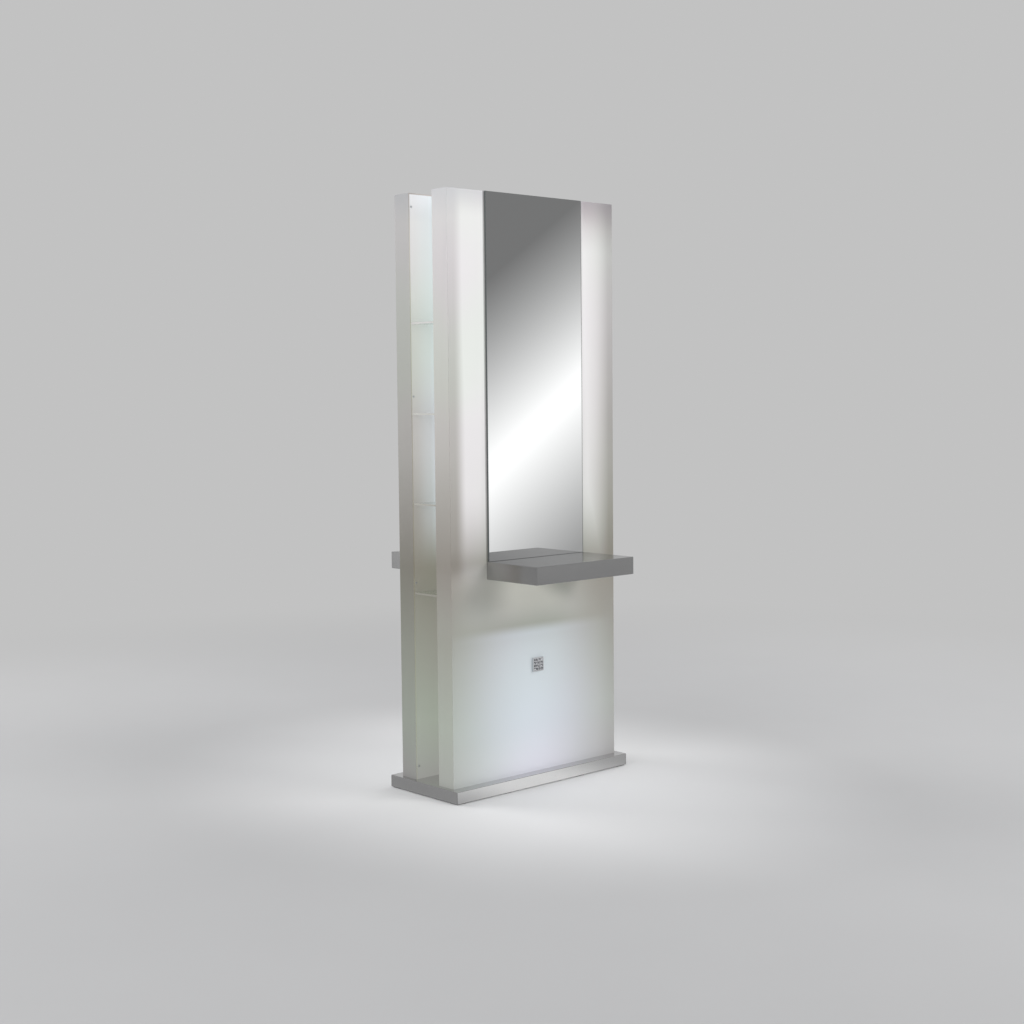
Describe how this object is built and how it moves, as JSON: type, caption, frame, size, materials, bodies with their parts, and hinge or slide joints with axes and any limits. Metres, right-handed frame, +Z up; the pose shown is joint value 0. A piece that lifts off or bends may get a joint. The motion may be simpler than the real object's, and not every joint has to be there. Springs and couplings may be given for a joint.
{
  "type": "double sided salon station",
  "caption": "Free-standing double-sided salon station: two lit opal casings back to back on a polished plinth, each with a mirror and a steel shelf, and glass shelves in the gap between.",
  "frame": {"origin": "on the floor, at the centre of the plinth's footprint", "axes": "+Z up; X along the width; -Y towards the front mirror and +Y towards the rear mirror"},
  "size_m": [0.84, 0.791, 2.1],
  "materials": {
    "polished_steel": "mirror-polished stainless steel sheet",
    "black_steel": "black primer",
    "pad_rubber": "matt rubber",
    "opal_acrylic": "opal acrylic sheet, lit from inside",
    "zinc_steel": "zinc-plated steel",
    "white_steel": "white powder coat",
    "plywood": "birch plywood, white primed",
    "mirror_silver": "silvered float glass, polished edges",
    "foam_tape": "double-sided mounting tape",
    "badge_steel": "polished plate",
    "crystal": "cut clear crystal, foiled back",
    "satin_steel": "finely brushed stainless sheet",
    "switch_plastic": "black moulded",
    "lamp_glass": "white phosphor-coated lamp glass",
    "holder_plastic": "white polycarbonate",
    "ballast_case": "plated sheet case",
    "clear_glass": "clear toughened glass, polished edges",
    "clear_acrylic": "clear acrylic, polished"
  },
  "bodies": {
    "station": {"anchor_bolts": "zinc_steel", "board_bolts": "zinc_steel", "bracket_bolts": "zinc_steel", "cable_grommets": "pad_rubber", "floor_pads": "pad_rubber", "front_badge_plate": "badge_steel", "front_badge_studs": "crystal", "front_ballasts": "ballast_case", "front_carrier_board": "plywood", "front_casing": "opal_acrylic", "front_frame": "white_steel", "front_gear_tray": "white_steel", "front_inner_panel": "opal_acrylic", "front_lampholders": "holder_plastic", "front_left_tube": "lamp_glass", "front_lower_channel": "white_steel", "front_lower_tube": "lamp_glass", "front_mirror": "mirror_silver", "front_mirror_tape": "foam_tape", "front_right_tube": "lamp_glass", "front_shelf_bracket": "white_steel", "front_shelf_shell": "satin_steel", "front_shelf_underplate": "satin_steel", "front_side_channels": "white_steel", "front_switch_housing": "switch_plastic", "front_terminal_block": "holder_plastic", "gap_shelf_1": "clear_glass", "gap_shelf_2": "clear_glass", "gap_shelf_3": "clear_glass", "gap_shelf_4": "clear_glass", "panel_screws": "zinc_steel", "plinth_frame": "black_steel", "plinth_pan": "polished_steel", "rear_badge_plate": "badge_steel", "rear_badge_studs": "crystal", "rear_ballasts": "ballast_case", "rear_carrier_board": "plywood", "rear_casing": "opal_acrylic", "rear_frame": "white_steel", "rear_gear_tray": "white_steel", "rear_inner_panel": "opal_acrylic", "rear_lampholders": "holder_plastic", "rear_left_tube": "lamp_glass", "rear_lower_channel": "white_steel", "rear_lower_tube": "lamp_glass", "rear_mirror": "mirror_silver", "rear_mirror_tape": "foam_tape", "rear_right_tube": "lamp_glass", "rear_shelf_bracket": "white_steel", "rear_shelf_shell": "satin_steel", "rear_shelf_underplate": "satin_steel", "rear_side_channels": "white_steel", "rear_switch_housing": "switch_plastic", "rear_terminal_block": "holder_plastic", "saddle_screws": "zinc_steel", "shelf_cleats": "clear_acrylic", "underplate_screws": "zinc_steel"},
    "front_rocker": {"front_switch_rocker": "switch_plastic"},
    "rear_rocker": {"rear_switch_rocker": "switch_plastic"}
  },
  "joints": [
    {"name": "front_switch_rock", "type": "hinge", "parent": "station", "child": "front_rocker", "pos_m": [0, -0.3455, 0.761], "axis": [0, 1, 0], "range_deg": [0, 16]},
    {"name": "rear_switch_rock", "type": "hinge", "parent": "station", "child": "rear_rocker", "pos_m": [0, 0.3455, 0.761], "axis": [0, -1, 0], "range_deg": [0, 16]}
  ]
}
